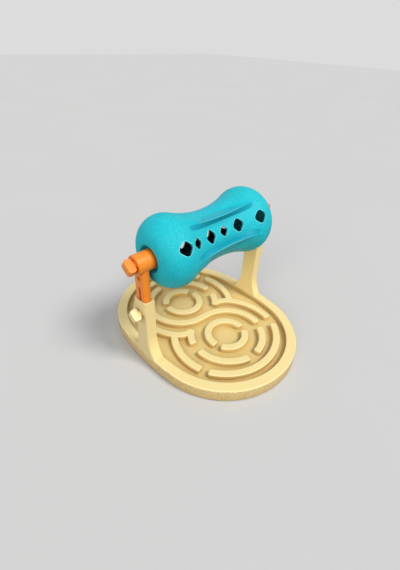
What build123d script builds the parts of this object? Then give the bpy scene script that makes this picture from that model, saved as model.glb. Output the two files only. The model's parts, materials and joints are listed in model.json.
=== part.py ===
"""Treat-dispensing bone that spins between two height-adjustable risers over a maze feeding tray.

Millimetres. Origin at the middle of the footprint on the ground, +Z up, +X along the bone's axle.
"""

import os
from math import atan2, cos, degrees, hypot, radians, sin, sqrt

from build123d import *

# ---------------------------------------------------------------- driving dimensions
# Bone: a waist that runs into two rounded lobes, moulded as two equal half shells.
lobe_centre = 60.0  # along the axle, from the middle to the centre of each lobe's arc
lobe_ring = 15.7  # distance of that centre from the axle
lobe_radius = 26.0
waist_radius = 30.3  # at the smooth pocket floors and the hole band
bone_wall = 2.5
bone_tilt = 30.0  # the hole panels look up by this angle, degrees
dimple_depth = 4.6
dimple_radius = 12.4

# Frame round each hole panel: as tall as the lobes, it ends in two ribs beside smooth pockets.
frame_inset = 0.6  # where the frame runs out under the bone's surface
frame_sections = 12
rib_crest = 16.7  # inner edge of the rib's top at the waist, from the panel's middle line
rib_crest_end = 21.2  # and at the rib's tips
rib_reach = 55.0  # the ribs' tips, from the middle
facet_edge = 11.6  # smooth facets begin here
facet_edge_end = 18.0  # and here at the ribs' tips
facet_fade = 8  # power of the curve between the two
facet_grip = 0.3  # how far the facet edge runs under the hole band
pocket_level = 15.0  # above the parting plane, where the pocket walls start to open out
pocket_edge = 23.5  # pocket wall at that level
pocket_half_waist = 11.0
pocket_end = 43.0
pocket_end_edge = 37.0
shoulder_draft = 34.0  # degrees, of the walls towards the lobes
rib_draft = 14.0  # degrees, of the walls beside the ribs

# Treat holes: rounded diamonds in a row.
large_hole = 13.2  # side of the square on its corner
large_hole_corner = 4.2
large_hole_places = (-64.5, -23.0, 21.0, 52.0)
small_hole = 10.0
small_hole_corner = 3.0
small_hole_places = (-47.3, -1.3)

# Pegs and sockets that hold the two half shells together.
peg_place = 57.0
peg_offset = 33.0
peg_diameter = 4.0
peg_length = 4.0
peg_boss_diameter = 8.0
peg_clearance = 0.15
peg_end_gap = 0.5

# Axle: flanged bushes in the bone's ends, turned by pins that pass through the risers.
axle_height = 148.0
axle_diameter = 8.0
axle_clearance = 0.08
bush_wall = 2.4
bush_length = 13.0  # behind the flange
bush_flange_diameter = 22.0
bush_flange_thickness = 2.1
bush_fit = 0.05
hub_wall = 3.2
running_gap = 0.4

# Riser: eye boss on a stem with bulged sides and a height slot.
eye_diameter = 22.0
eye_length = 20.6
eye_rim = 1.0
eye_overhang = 2.2  # past the outer face of the post
stem_depth = 9.6
stem_half_width = 9.0  # at the top of the bulge
stem_edge_half_width = 6.8
stem_foot_height = 60.0
stem_foot_edge = 0.8
slot_width = 4.0
slot_depth = 3.5
slot_foot_height = 68.0
slot_head_height = 118.8
index_hole_diameter = 5.6
index_hole_height = 129.7

# Thumb-turns on the axle pins and on the height locks.
turn_lean_left = 55.0  # degrees from upright
turn_lean_right = 8.0
turn_edge = 0.8
seat_gap = 0.15
pin_turn_length = 16.0
pin_turn_reach = 9.2
pin_turn_thickness = 10.0
pin_turn_corner = 3.4
pin_collar_diameter = 11.0
pin_collar_length = 0.8
pin_end_chamfer = 0.8
pin_tail = 1.5  # past the end of the bush
lock_turn_length = 14.4
lock_turn_reach = 9.4
lock_turn_thickness = 8.6
lock_turn_corner = 3.0
lock_collar_diameter = 9.0
lock_collar_length = 2.2
lock_height = 82.6
lock_neck_diameter = 6.4
lock_neck_clearance = 0.08
lock_tip_diameter = 3.4
lock_tip_gap = 0.4  # tip to the bottom of the height slot

# Tray: an oval tub with a broad rim, a raised maze floor and rubber feet.
tray_length = 270.0
side_radius = 367.5
rim_width = 13.2
rim_height = 17.8
rim_edge = 1.6
rim_inner_edge = 0.9
channel_depth = 7.0
deck_thickness = 3.0
skirt_wall = 3.0
foot_proud = 1.0
foot_diameter = 15.0
foot_recess = 1.2
foot_boss_wall = 1.8
foot_place_x = 60.0
foot_place_y = 74.0
foot_edge = 0.4
foot_fit = 0.1
under_rib_thickness = 1.6
under_rib_depth = 4.0

# Maze: rings of ridges round two wells, and an S-shaped ridge between them.
ridge_width = 9.5
ridge_edge = 1.3
ridge_corner = 2.6
well_place = 44.5
first_ring = 24.8
second_ring = 48.0
third_ring = 70.0
outer_channel = 8.0
crossing_half_length = 7.65
crossing_radius = 46.0
crossing_lean = 4.3  # degrees
bridge_x = 30.0  # where the third ring runs into the far side's second ring
bridge_y = 11.0

# Posts: square sockets for the risers, flared at the foot.
post_height = 101.5
post_width = 22.0
post_outer_edge = 3.0
post_inner_edge = 1.0
flare_radius = 50.0
flare_top = 48.0
socket_clearance = 0.3
socket_floor = 24.0

# ---------------------------------------------------------------- derived places
bone_end = lobe_centre + lobe_radius
dimple_floor = bone_end - dimple_depth
flange_face = dimple_floor + bush_flange_thickness
eye_inner = flange_face + running_gap
eye_outer = eye_inner + eye_length
post_outer = eye_outer - eye_overhang
post_middle = post_outer - rim_width / 2
stem_outer = post_middle + stem_depth / 2
stem_inner = post_middle - stem_depth / 2
bush_radius = axle_diameter / 2 + axle_clearance + bush_wall
bush_end = dimple_floor - bush_length
hub_radius = bush_radius + bush_fit + hub_wall
tilt = radians(bone_tilt)

# The tray's outline: side arcs through the posts' outer faces, and end arcs tangent to them.
half_length = tray_length / 2
side_centre = side_radius - post_outer
end_radius = (side_radius**2 - side_centre**2 - half_length**2) / (2 * side_radius - tray_length)
end_centre = half_length - end_radius
deck_top = rim_height - channel_depth
deck_under = deck_top - deck_thickness
rim_under = rim_height - deck_thickness

# The parting plane of the bone looks along the hole panels.
panel_side = (0, sin(tilt), cos(tilt))
axle_centre = (0, 0, axle_height)
axle = Axis(axle_centre, (1, 0, 0))
parting = Plane(origin=axle_centre, x_dir=(1, 0, 0), z_dir=(0, -cos(tilt), sin(tilt)))
outside = 2 * bone_end  # past every surface of the bone


def facing(side, x, height):
    """Plane across the axle direction, looking outwards on the given side of the toy."""
    return Plane(origin=(side * x, 0, height), x_dir=(0, side, 0), z_dir=(side, 0, 0))


# ---------------------------------------------------------------- bone
def neck_arc_radius(waist, lobe):
    """Radius of the hollow arc that starts level at the waist and runs into the lobe's arc."""
    rise = waist - lobe_ring
    return (lobe_centre**2 + rise**2 - lobe**2) / (2 * (lobe - rise))


def neck_end(waist, lobe):
    """Distance from the middle at which the hollow arc meets the lobe's arc."""
    arc = neck_arc_radius(waist, lobe)
    return lobe_centre * arc / (arc + lobe)


def bone_radius(x, waist):
    """Radius of the bone at a distance x from the middle."""
    if abs(x) > neck_end(waist, lobe_radius):
        return lobe_ring + sqrt(lobe_radius**2 - (abs(x) - lobe_centre) ** 2)
    arc = neck_arc_radius(waist, lobe_radius)
    return waist + arc - sqrt(arc**2 - x**2)


def turned_bone(inset, waist, floor, mouth, end_angle):
    """Solid turned about the axle, inset from the outer surface, with a dimple at each end."""
    lobe = lobe_radius - inset
    arc = neck_arc_radius(waist - inset, lobe)
    start_angle = atan2(waist - inset + arc - lobe_ring, -lobe_centre)
    places = [start_angle, (start_angle + end_angle) / 2, end_angle]
    joint, brow, lip = [(lobe_centre + lobe * cos(a), lobe_ring + lobe * sin(a)) for a in places]
    with BuildPart() as turned:
        with BuildSketch(parting):
            with BuildLine():
                ThreePointArc((-joint[0], joint[1]), (0, waist - inset), joint)
                lobe_arc = ThreePointArc(joint, brow, lip)
                dimple = Polyline(lip, (floor, mouth), (floor, 0))
                mirror(lobe_arc, about=Plane.YZ)
                mirror(dimple, about=Plane.YZ)
                Line((-floor, 0), (floor, 0))
            make_face()
        revolve(axis=axle)
    return turned.part


frame_level = lobe_ring + lobe_radius - frame_inset  # as high as the tops of the lobes


def frame_plane(x):
    """Plane across the axle at x, with its own X across the panel and its own Y out of it."""
    return Plane((x, 0, axle_height), x_dir=panel_side, z_dir=(1, 0, 0))


def facet_section(x):
    """Corners of the panel cutter at x, measured across the panel and out of it."""
    radius = bone_radius(x, waist_radius)
    crest = rib_crest + (rib_crest_end - rib_crest) * (x / rib_reach) ** 2
    crest_level = frame_level * sqrt(1 - (crest / (radius - frame_inset)) ** 2)
    edge = facet_edge + (facet_edge_end - facet_edge) * abs(x / rib_reach) ** facet_fade
    edge_level = sqrt(radius**2 - edge**2) - facet_grip
    past = (2 * crest - edge, 2 * crest_level - edge_level)
    right = [(edge, edge_level), past, (past[0], outside)]
    left = [(-across, level) for across, level in reversed(right)]
    return left + right


bone_core = turned_bone(0, waist_radius, dimple_floor, dimple_radius, 0)
cavity_angle = radians(4)
cavity = turned_bone(
    bone_wall, waist_radius, dimple_floor - bone_wall, dimple_radius + bone_wall, cavity_angle
)

stations = [2 * step / frame_sections - 1 for step in range(frame_sections + 1)]

with BuildPart() as panel_cutter:
    for station in stations:
        with BuildSketch(frame_plane(rib_reach * station)):
            with BuildLine():
                Polyline(facet_section(rib_reach * station), close=True)
            make_face()
    loft()

with BuildPart() as rib_side:
    with BuildSketch(parting) as rib_plan:
        with Locations((0, pocket_edge + outside / 2), (0, -pocket_edge - outside / 2)):
            Rectangle(2 * lobe_centre, outside)
    extrude(amount=pocket_level)
    with BuildSketch(parting.offset(pocket_level)):
        add(rib_plan.sketch_local)
    extrude(amount=bone_end - pocket_level, taper=-rib_draft)

with BuildPart() as pocket_cutter:
    with BuildSketch(parting) as pocket_plan:
        with BuildLine():
            Polyline(
                (-pocket_half_waist, pocket_edge),
                (pocket_half_waist, pocket_edge),
                (pocket_end, pocket_end_edge),
                (lobe_centre, outside),
                (-lobe_centre, outside),
                (-pocket_end, pocket_end_edge),
                close=True,
            )
        make_face()
        mirror(about=Plane.XZ)
    extrude(amount=pocket_level)
    with BuildSketch(parting.offset(pocket_level)):
        add(pocket_plan.sketch_local)
    extrude(amount=bone_end - pocket_level, taper=-shoulder_draft)
    add(rib_side.part, mode=Mode.INTERSECT)

with BuildPart() as rib_frame:
    for station in stations:
        with BuildSketch(frame_plane(lobe_centre * station)):
            half_across = bone_radius(lobe_centre * station, waist_radius) - frame_inset
            Ellipse(half_across, frame_level)
    loft()
    add(pocket_cutter.part, mode=Mode.SUBTRACT)
    add(panel_cutter.part, mode=Mode.SUBTRACT)

peg_places = [(peg_place, peg_offset), (-peg_place, -peg_offset)]
socket_places = [(-peg_place, peg_offset), (peg_place, -peg_offset)]

with BuildPart() as peg_bosses:
    with BuildSketch(parting):
        with Locations(*peg_places, *socket_places):
            Circle(peg_boss_diameter / 2)
    extrude(amount=outside)
    add(bone_core, mode=Mode.INTERSECT)

with BuildPart() as bone_half_front:
    add(bone_core)
    add(rib_frame.part)
    add(cavity, mode=Mode.SUBTRACT)
    for side in (-1, 1):
        with BuildSketch(facing(side, bush_end, axle_height)):
            Circle(hub_radius)
        extrude(amount=bush_length - bone_wall / 2)
    add(peg_bosses.part)
    for side in (-1, 1):
        with BuildSketch(facing(side, bush_end, axle_height)):
            Circle(bush_radius + bush_fit)
        extrude(amount=bush_length, mode=Mode.SUBTRACT)
    split(bisect_by=parting, keep=Keep.TOP)
    with BuildSketch(parting):
        with Locations(*[(place, 0) for place in large_hole_places]):
            RectangleRounded(large_hole, large_hole, large_hole_corner, rotation=45)
        with Locations(*[(place, 0) for place in small_hole_places]):
            RectangleRounded(small_hole, small_hole, small_hole_corner, rotation=45)
    extrude(amount=outside, mode=Mode.SUBTRACT)
    with BuildSketch(parting):
        with Locations(*socket_places):
            Circle(peg_diameter / 2 + peg_clearance)
    extrude(amount=peg_length + peg_end_gap, mode=Mode.SUBTRACT)
    with BuildSketch(parting):
        with Locations(*peg_places):
            Circle(peg_diameter / 2)
    extrude(amount=-peg_length)

with BuildPart() as bone_half_back:
    add(bone_half_front.part.rotate(Axis(axle_centre, panel_side), 180))


# ---------------------------------------------------------------- axle and risers
def flanged_bush(side):
    """Flange seated in the bone's dimple, with a tube that lines the bone's hub."""
    with BuildPart() as bush:
        with BuildSketch(facing(side, dimple_floor, axle_height)):
            Circle(bush_flange_diameter / 2)
        extrude(amount=bush_flange_thickness)
        with BuildSketch(facing(side, bush_end, axle_height)):
            Circle(bush_radius)
        extrude(amount=bush_length)
        with BuildSketch(facing(side, bush_end, axle_height)):
            Circle(axle_diameter / 2 + axle_clearance)
        extrude(amount=bush_length + bush_flange_thickness, mode=Mode.SUBTRACT)
    return bush.part


def thumb_turn(side, seat, height, collar, length, reach, thickness, corner):
    """Collar on its seat with a round-cornered paddle that leans across the axle direction."""
    collar_diameter, collar_length = collar
    lean = radians(turn_lean_left if side < 0 else turn_lean_right)
    paddle_plane = Plane(
        origin=(side * (seat + collar_length + reach / 2), 0, height),
        x_dir=(0, sin(lean), cos(lean)),
        z_dir=(0, cos(lean), -sin(lean)),
    )
    with BuildPart() as paddle:
        with BuildSketch(paddle_plane):
            RectangleRounded(length, reach, corner)
        extrude(amount=thickness / 2, both=True)
        fillet(paddle.edges().filter_by(paddle_plane), turn_edge)
    with BuildPart() as turn:
        with BuildSketch(facing(side, seat, height)):
            Circle(collar_diameter / 2)
        extrude(amount=collar_length + turn_edge)
        add(paddle.part)
    return turn.part


def stem_section(side, grow):
    """Flat inner and outer edges with bulged sides, grown all round by a clearance."""
    outer = side * (stem_outer + grow)
    inner = side * (stem_inner - grow)
    edge = stem_edge_half_width + grow
    bulge = stem_half_width + grow
    with BuildSketch() as section:
        with BuildLine():
            Line((outer, -edge), (outer, edge))
            ThreePointArc((outer, edge), (side * post_middle, bulge), (inner, edge))
            Line((inner, edge), (inner, -edge))
            ThreePointArc((inner, -edge), (side * post_middle, -bulge), (outer, -edge))
        make_face()
    return section.sketch


def riser(side):
    """Eye boss for the axle pin on a stem that slides in the post's socket."""
    with BuildPart() as eye:
        with BuildSketch(facing(side, eye_inner, axle_height)):
            Circle(eye_diameter / 2)
        extrude(amount=eye_length)
        fillet(eye.edges(), eye_rim)
    with BuildPart() as body:
        with BuildSketch(Plane.XY.offset(stem_foot_height)):
            add(stem_section(side, 0))
        extrude(amount=axle_height - stem_foot_height)
        chamfer(body.edges().group_by(Axis.Z)[0], stem_foot_edge)
        add(eye.part)
        with BuildSketch(facing(side, eye_inner, axle_height)):
            Circle(axle_diameter / 2 + axle_clearance)
        extrude(amount=eye_length, mode=Mode.SUBTRACT)
        with BuildSketch(facing(side, stem_outer, (slot_foot_height + slot_head_height) / 2)):
            SlotOverall(slot_head_height - slot_foot_height, slot_width, rotation=90)
        extrude(amount=-slot_depth, mode=Mode.SUBTRACT)
        with BuildSketch(facing(side, stem_outer, index_hole_height)):
            Circle(index_hole_diameter / 2)
        extrude(amount=-slot_depth, mode=Mode.SUBTRACT)
    return body.part


def axle_pin(side):
    """Pin through the riser's eye into the bone's bush, with its thumb-turn outside."""
    pin_start = bush_end - pin_tail
    seat = eye_outer + seat_gap
    with BuildPart() as pin:
        with BuildSketch(facing(side, pin_start, axle_height)):
            Circle(axle_diameter / 2)
        extrude(amount=seat - pin_start)
        chamfer(pin.edges().sort_by(Axis.X)[0 if side > 0 else -1], pin_end_chamfer)
        add(
            thumb_turn(
                side,
                seat,
                axle_height,
                (pin_collar_diameter, pin_collar_length),
                pin_turn_length,
                pin_turn_reach,
                pin_turn_thickness,
                pin_turn_corner,
            )
        )
    return pin.part


def height_lock(side):
    """Thumb-turn whose neck fills the hole in the post's wall and whose tip enters the height slot."""
    seat = post_outer + seat_gap
    socket_wall = stem_outer + socket_clearance
    tip_start = stem_outer - slot_depth + lock_tip_gap
    with BuildPart() as lock:
        with BuildSketch(facing(side, socket_wall, lock_height)):
            Circle(lock_neck_diameter / 2)
        extrude(amount=seat - socket_wall)
        with BuildSketch(facing(side, tip_start, lock_height)):
            Circle(lock_tip_diameter / 2)
        extrude(amount=seat - tip_start)
        add(
            thumb_turn(
                side,
                seat,
                lock_height,
                (lock_collar_diameter, lock_collar_length),
                lock_turn_length,
                lock_turn_reach,
                lock_turn_thickness,
                lock_turn_corner,
            )
        )
    return lock.part


# ---------------------------------------------------------------- tray
end_joint_scale = end_radius / hypot(side_centre, end_centre)
joint_x = end_joint_scale * side_centre
joint_y = end_centre + end_joint_scale * end_centre

with BuildSketch() as footprint:
    with BuildLine():
        right_arc = ThreePointArc((joint_x, -joint_y), (post_outer, 0), (joint_x, joint_y))
        far_arc = ThreePointArc((joint_x, joint_y), (0, half_length), (-joint_x, joint_y))
        mirror(right_arc, about=Plane.YZ)
        mirror(far_arc, about=Plane.XZ)
    make_face()


def inset_footprint(amount):
    """The tray's outline, moved inwards by the given amount."""
    with BuildSketch() as inner:
        offset(footprint.sketch, amount=-amount)
    return inner.sketch


def ridge(*path):
    """One ridge of the maze: a band along the path with square, softened ends and a rounded top."""
    route = Wire(path)
    tips = [route @ 0, route @ 1]
    with BuildPart() as band:
        with BuildSketch(Plane.XY.offset(deck_top)) as plan:
            trace(lines=route, line_width=ridge_width)
            corners = plan.sketch_local.vertices().filter_by(
                lambda v: min((Vector(v) - tip).length for tip in tips) < ridge_width * 0.6
            )
            fillet(corners, ridge_corner)
        extrude(amount=channel_depth)
        fillet(band.edges().group_by(Axis.Z)[-1], ridge_edge)
    return band.part


def arc_ridge(centre, radius, start, end):
    """A ridge along an arc, between two angles in degrees."""
    return ridge(CenterArc(centre, radius, start, end - start))


def far_copy(shape):
    """The same shape half a turn round the tray."""
    return shape.rotate(Axis.Z, 180)


well = (0, -well_place)
ridge_start = -14  # where the S-shaped ridge and the third ring begin, degrees
third_stop = 40
third_arc = CenterArc(well, third_ring, ridge_start, third_stop - ridge_start)
third_bridge = TangentArc(third_arc @ 1, (bridge_x, bridge_y), tangent=third_arc % 1)
rim_ring = end_radius - rim_width - outer_channel - ridge_width / 2

crossing_distance = hypot(crossing_radius, crossing_half_length)
lean = radians(crossing_lean)
crossing = (crossing_distance * sin(lean), -crossing_distance * cos(lean))
crossing_stop = 90 + crossing_lean - degrees(atan2(crossing_half_length, crossing_radius))
crossing_arc = CenterArc(crossing, crossing_radius, ridge_start, crossing_stop - ridge_start)
crossing_line = Line(crossing_arc @ 1, -(crossing_arc @ 1))

near_ridges = [
    arc_ridge(well, first_ring, -8, 190),
    arc_ridge(well, first_ring, 207, 333),
    arc_ridge(well, second_ring, 178, 259),
    arc_ridge(well, second_ring, 276, 333),
    arc_ridge(well, second_ring, 130, 161),
    ridge(third_arc, third_bridge),
    arc_ridge(well, third_ring, 180 - third_stop, 197),
    arc_ridge((0, -end_centre), rim_ring, 212, 328),
]

with BuildPart() as maze:
    add(ridge(crossing_arc, crossing_line, far_copy(crossing_arc)))
    for near_ridge in near_ridges:
        add(near_ridge)
        add(far_copy(near_ridge))


def post(side):
    """Upright with a flared foot that follows the rim, before its socket is cut."""
    half_width = post_width / 2
    foot_half = half_width + flare_radius - sqrt(flare_radius**2 - (flare_top - rim_height) ** 2)
    middle = Plane((side * post_middle, 0, 0), x_dir=(0, 1, 0), z_dir=(1, 0, 0))
    with BuildPart() as upright:
        with BuildSketch(middle):
            with BuildLine():
                flare = RadiusArc((half_width, flare_top), (foot_half, rim_height), -flare_radius)
                edge = Polyline((0, post_height), (half_width, post_height), (half_width, flare_top))
                foot = Polyline((foot_half, rim_height), (foot_half, rim_under), (0, rim_under))
                mirror(flare, about=Plane.YZ)
                mirror(edge, about=Plane.YZ)
                mirror(foot, about=Plane.YZ)
            make_face()
        extrude(amount=rim_width, both=True)
        with BuildSketch(Plane.XY.offset(rim_under)):
            add(footprint.sketch)
            add(inset_footprint(rim_width), mode=Mode.SUBTRACT)
        extrude(amount=post_height - rim_under, mode=Mode.INTERSECT)
        long_edges = upright.edges().filter_by(lambda e: e.bounding_box().size.Z > rim_width)
        outer = long_edges.filter_by(lambda e: side * e.center().X > post_middle)
        inner = long_edges.filter_by(lambda e: side * e.center().X < post_middle)
        fillet(outer, post_outer_edge)
        fillet(inner, post_inner_edge)
    return upright.part


with BuildPart() as base_tray:
    with BuildSketch(Plane.XY.offset(foot_proud)):
        add(footprint.sketch)
    extrude(amount=rim_height - foot_proud)
    fillet(base_tray.edges().group_by(Axis.Z)[-1], rim_edge)
    with BuildSketch(Plane.XY.offset(deck_top)):
        add(inset_footprint(rim_width))
    extrude(amount=channel_depth, mode=Mode.SUBTRACT)
    fillet(base_tray.edges().group_by(Axis.Z)[-1].sort_by(Axis.Z), rim_inner_edge)
    with BuildSketch(Plane.XY.offset(foot_proud)):
        add(inset_footprint(skirt_wall))
    extrude(amount=deck_under - foot_proud, mode=Mode.SUBTRACT)
    with BuildSketch(Plane.XY.offset(deck_under)):
        add(inset_footprint(skirt_wall))
        add(inset_footprint(rim_width - skirt_wall), mode=Mode.SUBTRACT)
    extrude(amount=rim_under - deck_under, mode=Mode.SUBTRACT)
    with BuildSketch(Plane.XY.offset(deck_under - under_rib_depth)):
        for rib_y in (-well_place, 0, well_place):
            with Locations((0, rib_y)):
                Rectangle(tray_length, under_rib_thickness)
        Rectangle(under_rib_thickness, tray_length)
        add(inset_footprint(rim_width - skirt_wall), mode=Mode.INTERSECT)
    extrude(amount=under_rib_depth + deck_thickness / 2)
    with BuildSketch(Plane.XY.offset(foot_proud)):
        with GridLocations(2 * foot_place_x, 2 * foot_place_y, 2, 2):
            Circle(foot_diameter / 2 + foot_boss_wall)
    extrude(amount=deck_top - deck_thickness / 2 - foot_proud)
    with BuildSketch(Plane.XY.offset(foot_proud)):
        with GridLocations(2 * foot_place_x, 2 * foot_place_y, 2, 2):
            Circle(foot_diameter / 2 + foot_fit)
    extrude(amount=foot_recess, mode=Mode.SUBTRACT)
    add(maze.part)
    for side in (-1, 1):
        add(post(side))
        with BuildSketch(Plane.XY.offset(socket_floor)):
            add(stem_section(side, socket_clearance))
        extrude(amount=post_height - socket_floor, mode=Mode.SUBTRACT)
        with BuildSketch(facing(side, post_middle, lock_height)):
            Circle(lock_neck_diameter / 2 + lock_neck_clearance)
        extrude(amount=rim_width, mode=Mode.SUBTRACT)


def rubber_foot(side_x, side_y):
    """Disc pressed into its recess under the tray."""
    with BuildPart() as foot:
        with BuildSketch():
            with Locations((side_x * foot_place_x, side_y * foot_place_y)):
                Circle(foot_diameter / 2)
        extrude(amount=foot_proud + foot_recess)
        fillet(foot.edges().group_by(Axis.Z)[0], foot_edge)
    return foot.part


# ---------------------------------------------------------------- output
pieces = {
    "base_tray": base_tray.part,
    "bone_half_front": bone_half_front.part,
    "bone_half_back": bone_half_back.part,
}
for side, side_name in ((-1, "left"), (1, "right")):
    pieces["bush_" + side_name] = flanged_bush(side)
    pieces["riser_" + side_name] = riser(side)
    pieces["axle_pin_" + side_name] = axle_pin(side)
    pieces["height_lock_" + side_name] = height_lock(side)
    pieces["foot_near_" + side_name] = rubber_foot(side, -1)
    pieces["foot_far_" + side_name] = rubber_foot(side, 1)

os.makedirs("parts", exist_ok=True)
for name, piece in pieces.items():
    piece.label = name
    export_step(piece, "parts/" + name + ".step")
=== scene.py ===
"""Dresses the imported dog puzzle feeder: moulded plastics, camera, floor and soft light. Metres."""

import json
import math

import bpy
from mathutils import Matrix, Vector


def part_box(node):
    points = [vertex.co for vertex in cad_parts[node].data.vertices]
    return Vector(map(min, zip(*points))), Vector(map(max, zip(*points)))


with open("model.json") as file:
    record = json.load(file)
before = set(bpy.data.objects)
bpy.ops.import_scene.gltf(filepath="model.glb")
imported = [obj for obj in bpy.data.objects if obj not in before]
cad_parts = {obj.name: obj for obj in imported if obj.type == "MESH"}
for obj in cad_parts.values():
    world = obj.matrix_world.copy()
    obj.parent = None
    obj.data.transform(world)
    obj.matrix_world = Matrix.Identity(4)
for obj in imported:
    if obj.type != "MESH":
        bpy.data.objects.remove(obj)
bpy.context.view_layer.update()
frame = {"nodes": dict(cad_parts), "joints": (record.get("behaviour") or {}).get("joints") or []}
nodes = frame["nodes"]
joints = {joint["name"]: joint for joint in frame["joints"]}

# ---------------------------------------------------------------- places on the object
# A pair is the stretch over which a zone fades in or out.
AXLE_HEIGHT = joints["bone_spin"]["pos_m"][2]
BONE_TILT = math.radians(30)
PANEL_SIDE = Vector((0, math.sin(BONE_TILT), math.cos(BONE_TILT)))
PANEL_DIRECTION = Vector((0, -math.cos(BONE_TILT), math.sin(BONE_TILT)))

# Across the bone, from the middle line of a hole panel.
PANEL_EDGE = 0.0118
PANEL_WIDENING = 0.0064  # of the panel at the ribs' tips
WIDENING_POWER = 8.0  # of the curve from the middle to the tips
PANEL_BORDER = (-0.0002, 0.0005)  # either side of the panel's edge
FACET_END = (0.0170, 0.0215)
RIB_SIDE = (0.0215, 0.0250)
POCKET_EDGE = 0.0235

# Along the bone, from its middle.
RIB_REACH = 0.055
LOBE_START = (0.047, 0.055)
POCKET_HALF_WAIST = 0.0125
POCKET_FLARE = 2.37  # how much further along a pocket ends, for each metre across
POCKET_BORDER = (-0.001, 0.002)  # either side of the pocket's end
CAVITY_REACH = (0.070, 0.072)

AXLE_FACING = (-0.006, -0.002)  # radius times the cosine between the face and the way out
SPLIT_BORDER = (0.0012, 0.0024)  # from the plane between the bone's halves

TRAY_HALF_WIDTH, TRAY_HALF_LENGTH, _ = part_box("base_tray")[1]
RIM_HEIGHT = 0.0178
RIM_BORDER = (RIM_HEIGHT - 0.0014, RIM_HEIGHT - 0.0004)
DECK_HEIGHT = 0.0108
LOW_LEVELS = (DECK_HEIGHT - 0.0005, RIM_HEIGHT)
SKIRT_START = (0.90, 0.94)  # squared share of the way out to the tray's edge
UPRIGHT_FACES = (0.25, 0.75)  # the vertical part of a face's direction


# ---------------------------------------------------------------- colours
def rgb(red, green, blue):
    """A colour given as it looks on screen, turned into scene values."""
    return tuple(pow(channel / 255, 2.2) for channel in (red, green, blue)) + (1.0,)


TEAL = rgb(4, 178, 196)
TEAL_PATCH = rgb(12, 192, 208)
TEAL_STIPPLE = rgb(74, 228, 234)
TEAL_SMOOTH = rgb(10, 190, 209)
# Painted shade for the facets, the corners and the shell's inner wall, then a painted highlight for
# outward edges.
TEAL_FACET_SHADE = rgb(0, 158, 182)
TEAL_CORNER_SHADE = rgb(0, 88, 108)
TEAL_EDGE_HIGHLIGHT = rgb(128, 236, 241)
TEAL_INSIDE_SHADE = rgb(8, 74, 90)

CREAM = rgb(248, 221, 151)
CREAM_PATCH = rgb(254, 231, 165)
CREAM_FLOW = rgb(252, 232, 178)
# Painted shade for low levels, ridge sides and corners, then a painted highlight for outward edges.
CREAM_LOW_SHADE = rgb(230, 197, 124)
CREAM_RIDGE_SIDE_SHADE = rgb(222, 187, 112)
CREAM_CORNER_SHADE = rgb(166, 130, 62)
CREAM_EDGE_HIGHLIGHT = rgb(255, 242, 202)
CREAM_PIT = rgb(196, 156, 104)
CREAM_SPARKLE = rgb(255, 244, 220)

ORANGE = rgb(252, 134, 30)
ORANGE_PATCH = rgb(255, 150, 44)
# Painted shade for seams and corners, then a painted highlight for outward edges.
ORANGE_CORNER_SHADE = rgb(168, 46, 8)
ORANGE_EDGE_HIGHLIGHT = rgb(255, 190, 110)
# The bush's orange is a darker copy of the orange, as painted shade.
FLANGE_SHADED = rgb(228, 104, 24)
FLANGE_SHADED_PATCH = rgb(240, 122, 34)
FLANGE_CORNER_SHADE = rgb(112, 30, 8)

RUBBER = rgb(74, 72, 70)
RUBBER_DUST = rgb(118, 112, 104)

FLOOR = rgb(206, 206, 206)
FLOOR_PATCH = rgb(210, 210, 210)
FLOOR_BOUNCE = rgb(100, 100, 102)
WALL = rgb(219, 219, 219)


# ---------------------------------------------------------------- node helpers
def seen_directly(tree):
    """1 for what the camera, a reflection or a clear piece shows, 0 for light that bounces."""
    rays = tree.nodes.new("ShaderNodeLightPath").outputs
    seen = rays["Is Camera Ray"]
    for ray in ("Is Glossy Ray", "Is Transmission Ray"):
        either = tree.nodes.new("ShaderNodeMath")
        either.operation = "MAXIMUM"
        tree.links.new(seen, either.inputs[0])
        tree.links.new(rays[ray], either.inputs[1])
        seen = either.outputs[0]
    return seen


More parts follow.
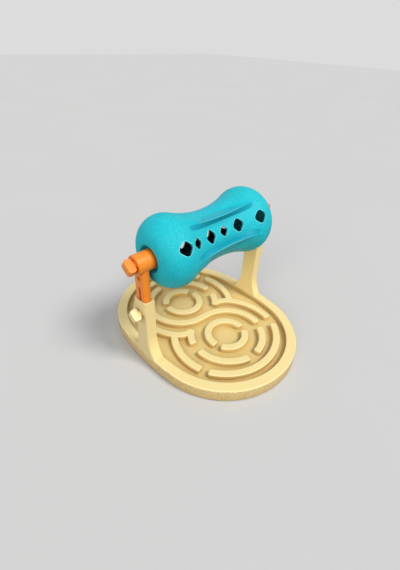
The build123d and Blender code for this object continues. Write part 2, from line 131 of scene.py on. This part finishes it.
class Shader:
    """Short names for building one material's nodes."""

    SAMPLES = 6  # of the nodes that look at the shape round a point
    CREST_DEPTH = 1.6  # how deep an edge is probed, in edge radii
    CREST_RANGE = (0.06, 0.42)  # share of the inside that is cut off, at a face and at an edge

    def __init__(self, name):
        self.material = bpy.data.materials.new(name)
        self.material.use_nodes = True
        self.tree = self.material.node_tree
        self.surface = self.tree.nodes["Principled BSDF"]

    def node(self, kind, **settings):
        made = self.tree.nodes.new(kind)
        for key, value in settings.items():
            setattr(made, key, value)
        return made

    def link(self, source, target):
        self.tree.links.new(source, target)

    def feed(self, socket, value):
        """Links an output into a socket, or sets the socket's own value."""
        if isinstance(value, bpy.types.NodeSocket):
            self.link(value, socket)
        else:
            socket.default_value = value

    # Where a point is and which way it faces.
    def place(self):
        """Object coordinates, which are the shared frame's metres."""
        return self.node("ShaderNodeTexCoord").outputs["Object"]

    def facing(self):
        """The surface's direction in the shared frame, which turns with the piece's body."""
        return self.node("ShaderNodeTexCoord").outputs["Normal"]

    def parts(self, vector):
        split = self.node("ShaderNodeSeparateXYZ")
        self.link(vector, split.inputs[0])
        return split.outputs

    def vectors(self, operation, first, second):
        made = self.node("ShaderNodeVectorMath", operation=operation)
        self.feed(made.inputs[0], first)
        self.feed(made.inputs[1], second)
        return made.outputs["Value" if operation == "DOT_PRODUCT" else "Vector"]

    # Sums and masks.
    def math(self, operation, first, second=0.0):
        made = self.node("ShaderNodeMath", operation=operation)
        self.feed(made.inputs[0], first)
        self.feed(made.inputs[1], second)
        return made.outputs[0]

    def plus(self, first, second):
        return self.math("ADD", first, second)

    def minus(self, first, second):
        return self.math("SUBTRACT", first, second)

    def times(self, first, second):
        return self.math("MULTIPLY", first, second)

    def rise(self, value, low, high):
        """0 below low and 1 above high."""
        made = self.node("ShaderNodeMapRange", interpolation_type="SMOOTHSTEP")
        self.feed(made.inputs["Value"], value)
        made.inputs["From Min"].default_value = low
        made.inputs["From Max"].default_value = high
        return made.outputs["Result"]

    def fall(self, value, low, high):
        """1 below low and 0 above high."""
        return self.minus(1.0, self.rise(value, low, high))

    def between(self, mask, low, high):
        """A number that runs from low to high with the mask."""
        made = self.node("ShaderNodeMapRange")
        self.feed(made.inputs["Value"], mask)
        made.inputs["To Min"].default_value = low
        made.inputs["To Max"].default_value = high
        return made.outputs["Result"]

    # Textures.
    def noise(self, per_metre, detail=2.0, roughness=0.5):
        made = self.node("ShaderNodeTexNoise")
        self.link(self.place(), made.inputs["Vector"])
        made.inputs["Scale"].default_value = per_metre
        made.inputs["Detail"].default_value = detail
        made.inputs["Roughness"].default_value = roughness
        return made.outputs["Fac"]

    def cells(self, per_metre, smoothness=0.4):
        """Rounded grains, as eroded mould texture leaves them."""
        made = self.node("ShaderNodeTexVoronoi", feature="SMOOTH_F1")
        self.link(self.place(), made.inputs["Vector"])
        made.inputs["Scale"].default_value = per_metre
        made.inputs["Smoothness"].default_value = smoothness
        return made.outputs["Distance"]

    # Colours.
    def mix(self, mask, first, second):
        made = self.node("ShaderNodeMix", data_type="RGBA")
        factor, first_color, second_color = made.inputs[0], made.inputs[6], made.inputs[7]
        self.feed(factor, mask)
        self.feed(first_color, first)
        self.feed(second_color, second)
        return made.outputs[2]

    def tint(self, color, mask, toward, share):
        """Takes a colour towards another where the mask is, by the share at most."""
        return self.mix(self.times(mask, share), color, toward)

    # What the shape round a point is like.
    def edges(self, radius):
        """1 along outward edges, 0 on faces and in corners; and the normal with its edges rounded."""
        bevel = self.node("ShaderNodeBevel", samples=self.SAMPLES)
        bevel.inputs["Radius"].default_value = radius
        thin = self.node("ShaderNodeAmbientOcclusion", samples=self.SAMPLES, inside=True)
        thin.inputs["Distance"].default_value = self.CREST_DEPTH * radius
        crest = self.minus(1.0, thin.outputs["AO"])
        return self.rise(crest, *self.CREST_RANGE), bevel.outputs["Normal"]

    def shut_in(self, distance):
        """How closed in a place is by what stands round it."""
        corner = self.node("ShaderNodeAmbientOcclusion", samples=self.SAMPLES)
        corner.inputs["Distance"].default_value = distance
        return self.minus(1.0, corner.outputs["AO"])

    def bump(self, height, depth, strength, normal=None):
        made = self.node("ShaderNodeBump")
        self.feed(made.inputs["Height"], height)
        made.inputs["Strength"].default_value = strength
        made.inputs["Distance"].default_value = depth
        if normal is not None:
            self.link(normal, made.inputs["Normal"])
        return made.outputs["Normal"]

    def finish(self, color, roughness, normal=None, **constants):
        """Feeds the surface; a constant's name is its socket's, with _ for each space."""
        self.feed(self.surface.inputs["Base Color"], color)
        self.feed(self.surface.inputs["Roughness"], roughness)
        if normal is not None:
            self.link(normal, self.surface.inputs["Normal"])
        for name, value in constants.items():
            self.surface.inputs[name.replace("_", " ")].default_value = value
        return self.material


# ---------------------------------------------------------------- materials
def teal_bone():
    """Stippled shell with smooth facets beside the panel and smooth pockets between the ribs; painted
    shade on the facets, in corners and on the inner wall, and painted highlights along outward edges.
    """
    s = Shader("teal_bone")
    place = s.vectors("ADD", s.place(), (0, 0, -AXLE_HEIGHT))
    across = s.math("ABSOLUTE", s.vectors("DOT_PRODUCT", place, PANEL_SIDE))
    along = s.math("ABSOLUTE", s.vectors("DOT_PRODUCT", place, (1, 0, 0)))

    # The smooth zone: past the panel's edge, short of the lobes, on the ribs and in the pockets.
    widened = s.math("POWER", s.math("DIVIDE", along, RIB_REACH), WIDENING_POWER)
    panel_edge = s.plus(s.times(widened, PANEL_WIDENING), PANEL_EDGE)
    past_panel = s.rise(s.minus(across, panel_edge), *PANEL_BORDER)
    beside_rib = s.fall(across, *RIB_SIDE)
    short_of_lobe = s.fall(along, *LOBE_START)
    pocket_end = s.plus(s.times(s.minus(across, POCKET_EDGE), POCKET_FLARE), POCKET_HALF_WAIST)
    in_pocket = s.rise(s.minus(pocket_end, along), *POCKET_BORDER)
    rib_or_pocket = s.math("MAXIMUM", s.times(beside_rib, short_of_lobe), in_pocket)
    smooth = s.times(s.times(past_panel, rib_or_pocket), short_of_lobe)
    facet = s.times(s.fall(across, *FACET_END), smooth)
    stippled = s.minus(1.0, smooth)

    # The inner wall of the shell faces the axle; it is painted dark as shade.
    from_axle = s.vectors("MULTIPLY", place, (0, 1, 1))
    faces_axle = s.fall(s.vectors("DOT_PRODUCT", s.facing(), from_axle), *AXLE_FACING)
    inside = s.times(faces_axle, s.fall(along, *CAVITY_REACH))

    grain = s.cells(per_metre=1150.0)
    fine = s.noise(per_metre=2300.0)
    blotch = s.noise(per_metre=40.0, detail=3.0)
    highlight_edge, soft_normal = s.edges(radius=0.0008)

    color = s.mix(blotch, TEAL, TEAL_PATCH)
    color = s.tint(color, s.rise(grain, low=0.25, high=0.85), TEAL_STIPPLE, share=0.50)
    # The smooth zone in its own tone, with its facets darker as painted shade.
    color = s.tint(color, smooth, s.mix(facet, TEAL_SMOOTH, TEAL_FACET_SHADE), share=0.9)
    # Painted shade in corners and pockets.
    color = s.tint(color, s.shut_in(distance=0.012), TEAL_CORNER_SHADE, share=0.95)
    # Painted highlight along outward edges, kept off the split between the halves.
    off_split = s.math("ABSOLUTE", s.vectors("DOT_PRODUCT", place, PANEL_DIRECTION))
    edge_highlight_share = s.between(s.rise(off_split, *SPLIT_BORDER), low=0.06, high=0.65)
    color = s.mix(s.times(highlight_edge, edge_highlight_share), color, TEAL_EDGE_HIGHLIGHT)
    color = s.mix(inside, color, TEAL_INSIDE_SHADE)

    roughness = s.plus(s.between(smooth, low=0.50, high=0.38), s.times(fine, 0.16))
    height = s.plus(s.times(grain, stippled), s.times(fine, 0.05))
    normal = s.bump(height, depth=0.0002, strength=0.7, normal=soft_normal)
    return s.finish(color, roughness, normal, IOR=1.45, Specular_IOR_Level=0.28)


def cream_plastic():
    """Satin moulding with a grained skirt, painted highlights along outward edges, and painted shade
    in the inner corners, on the low levels and on the ridges' sides.
    """
    s = Shader("cream_plastic")
    side, end, level = s.parts(s.place())
    up = s.parts(s.facing())[2]
    upright = s.fall(s.math("ABSOLUTE", up), *UPRIGHT_FACES)
    below_rim = s.fall(level, *RIM_BORDER)
    width_share = s.math("POWER", s.math("DIVIDE", side, TRAY_HALF_WIDTH), 2.0)
    length_share = s.math("POWER", s.math("DIVIDE", end, TRAY_HALF_LENGTH), 2.0)
    outer = s.rise(s.plus(width_share, length_share), *SKIRT_START)
    low = s.fall(level, *LOW_LEVELS)
    wall = s.times(upright, below_rim)
    skirt = s.times(wall, outer)
    shaded_ridge_side = s.minus(wall, skirt)

    blotch = s.noise(per_metre=18.0, detail=4.0, roughness=0.6)
    flow = s.noise(per_metre=95.0, detail=3.0)
    fine = s.noise(per_metre=1900.0)
    grain = s.cells(per_metre=620.0)
    highlight_edge, soft_normal = s.edges(radius=0.0007)

    color = s.mix(blotch, CREAM, CREAM_PATCH)
    color = s.tint(color, s.rise(flow, low=0.45, high=0.75), CREAM_FLOW, share=0.22)
    # Painted shade on the low levels, on the ridges' sides and in corners.
    color = s.tint(color, low, CREAM_LOW_SHADE, share=0.62)
    color = s.tint(color, shaded_ridge_side, CREAM_RIDGE_SIDE_SHADE, share=0.45)
    color = s.tint(color, s.shut_in(distance=0.010), CREAM_CORNER_SHADE, share=0.85)
    # Painted highlight along outward edges.
    color = s.tint(color, highlight_edge, CREAM_EDGE_HIGHLIGHT, share=0.5)
    pits = s.times(skirt, s.rise(grain, low=0.35, high=0.75))
    color = s.tint(color, pits, CREAM_PIT, share=0.60)
    sparkle = s.times(skirt, s.rise(fine, low=0.58, high=0.70))
    color = s.tint(color, sparkle, CREAM_SPARKLE, share=0.35)

    roughness = s.plus(s.between(flow, low=0.36, high=0.48), s.times(skirt, 0.15))
    height = s.plus(s.times(grain, skirt), s.times(fine, 0.07))
    normal = s.bump(height, depth=0.0003, strength=0.7, normal=soft_normal)
    return s.finish(color, roughness, normal, IOR=1.47, Coat_Weight=0.10, Coat_Roughness=0.25)


def orange_plastic(name, base, patch, corner_shade):
    """Glossier moulding with red-brown painted shade in its seams and inner corners, and painted
    highlights along outward edges.
    """
    s = Shader(name)
    blotch = s.noise(per_metre=60.0, detail=3.0)
    fine = s.noise(per_metre=2100.0)
    highlight_edge, soft_normal = s.edges(radius=0.0006)
    color = s.mix(blotch, base, patch)
    # Painted shade in seams and corners.
    color = s.tint(color, s.shut_in(distance=0.004), corner_shade, share=0.85)
    # Painted highlight along outward edges.
    color = s.tint(color, highlight_edge, ORANGE_EDGE_HIGHLIGHT, share=0.4)
    roughness = s.plus(s.between(blotch, low=0.34, high=0.42), s.times(fine, 0.08))
    normal = s.bump(fine, depth=0.00005, strength=0.5, normal=soft_normal)
    return s.finish(color, roughness, normal, IOR=1.48, Coat_Weight=0.12, Coat_Roughness=0.22)


def foot_rubber():
    """Dull dark rubber with dust on it."""
    s = Shader("foot_rubber")
    fine = s.noise(per_metre=1500.0, detail=3.0)
    dust = s.noise(per_metre=240.0, detail=4.0, roughness=0.7)
    color = s.mix(s.rise(dust, low=0.5, high=0.8), RUBBER, RUBBER_DUST)
    normal = s.bump(fine, depth=0.0002, strength=0.5)
    return s.finish(color, s.between(dust, low=0.72, high=0.9), normal, IOR=1.5)


teal = teal_bone()
cream = cream_plastic()
orange = orange_plastic("orange_plastic", ORANGE, ORANGE_PATCH, ORANGE_CORNER_SHADE)
# The bush gets a darker copy of the orange, as painted shade.
flange = orange_plastic("flange_orange", FLANGE_SHADED, FLANGE_SHADED_PATCH, FLANGE_CORNER_SHADE)
rubber = foot_rubber()

finishes = {
    "base_tray": cream,
    "height_lock": cream,
    "bone_half": teal,
    "bush": flange,
    "riser": orange,
    "axle_pin": orange,
    "foot": rubber,
}
for node_name, node in nodes.items():
    finish = next(made for start, made in finishes.items() if node_name.startswith(start))
    node.data.materials.clear()
    node.data.materials.append(finish)

# ---------------------------------------------------------------- camera
CAMERA_AZIMUTH = math.radians(-44.76)
CAMERA_ELEVATION = math.radians(36.94)
CAMERA_ROLL = math.radians(2.41)
CAMERA_TARGET = Vector((0.06268, 0.07287, 0))
CAMERA_DISTANCE = 0.56023
PHOTO_HEIGHT = 570
FOCAL_PIXELS = 333.62
SENSOR_SIZE = 36  # millimetres, along the picture's longer side, which is its height
NEAREST = 0.01
FARTHEST = 50


def add_camera():
    """The photograph's view: aimed, turned about the view's own line and set back."""
    data = bpy.data.cameras.new("camera")
    data.sensor_width = SENSOR_SIZE
    data.lens = FOCAL_PIXELS / PHOTO_HEIGHT * SENSOR_SIZE
    data.clip_start = NEAREST
    data.clip_end = FARTHEST
    back = Vector(
        (
            math.sin(CAMERA_AZIMUTH) * math.cos(CAMERA_ELEVATION),
            -math.cos(CAMERA_AZIMUTH) * math.cos(CAMERA_ELEVATION),
            math.sin(CAMERA_ELEVATION),
        )
    )
    right = Vector((math.cos(CAMERA_AZIMUTH), math.sin(CAMERA_AZIMUTH), 0))
    up = back.cross(right)
    rolled_right = right * math.cos(CAMERA_ROLL) + up * math.sin(CAMERA_ROLL)
    rolled_up = up * math.cos(CAMERA_ROLL) - right * math.sin(CAMERA_ROLL)
    pose = Matrix((rolled_right, rolled_up, back)).transposed().to_4x4()
    pose.translation = CAMERA_TARGET + back * CAMERA_DISTANCE
    camera = bpy.data.objects.new("camera", data)
    bpy.context.scene.collection.objects.link(camera)
    camera.matrix_world = pose
    bpy.context.scene.camera = camera


# ---------------------------------------------------------------- floor and light
FLOOR_HALF = 6.0
ROOM_COLOR = (0.94, 0.97, 1.0, 1)
ROOM_STRENGTH = 0.42


def floor():
    """A plain floor, pale to the camera and darker for the light that it bounces."""
    mesh = bpy.data.meshes.new("floor")
    signs = [(-1, -1), (1, -1), (1, 1), (-1, 1)]
    corners = [(x * FLOOR_HALF, y * FLOOR_HALF, 0) for x, y in signs]
    mesh.from_pydata(corners, [], [(0, 1, 2, 3)])
    made = bpy.data.objects.new("floor", mesh)
    bpy.context.scene.collection.objects.link(made)
    s = Shader("floor")
    pale = s.mix(s.noise(per_metre=3.0), FLOOR, FLOOR_PATCH)
    tone = s.mix(seen_directly(s.tree), FLOOR_BOUNCE, pale)
    mesh.materials.append(s.finish(tone, roughness=0.9, Specular_IOR_Level=0.0))


def sun_light(name, source, strength, angle, color):
    """A broad even light that shines from the source's direction."""
    data = bpy.data.lights.new(name, "SUN")
    data.energy = strength
    data.angle = math.radians(angle)
    data.color = color
    light = bpy.data.objects.new(name, data)
    bpy.context.scene.collection.objects.link(light)
    light.rotation_mode = "QUATERNION"
    light.rotation_quaternion = (-Vector(source)).to_track_quat("-Z", "Y")


def backdrop():
    """Even room light, seen by the camera and in reflections as a pale wall."""
    world = bpy.data.worlds.new("world")
    world.use_nodes = True
    bpy.context.scene.world = world
    tree = world.node_tree
    room = tree.nodes["Background"]
    room.inputs["Color"].default_value = ROOM_COLOR
    room.inputs["Strength"].default_value = ROOM_STRENGTH
    wall = tree.nodes.new("ShaderNodeBackground")
    wall.inputs["Color"].default_value = WALL
    blend = tree.nodes.new("ShaderNodeMixShader")
    tree.links.new(seen_directly(tree), blend.inputs["Fac"])
    tree.links.new(room.outputs[0], blend.inputs[1])
    tree.links.new(wall.outputs[0], blend.inputs[2])
    tree.links.new(blend.outputs[0], tree.nodes["World Output"].inputs["Surface"])


add_camera()
floor()
sun_light("key", source=(0.22, -0.56, 0.80), strength=1.85, angle=20, color=(1.0, 0.98, 0.95))
sun_light("fill", source=(-0.80, -0.42, 0.42), strength=1.35, angle=50, color=(1.0, 0.98, 0.96))
backdrop()

bpy.context.scene.view_settings.view_transform = "Standard"
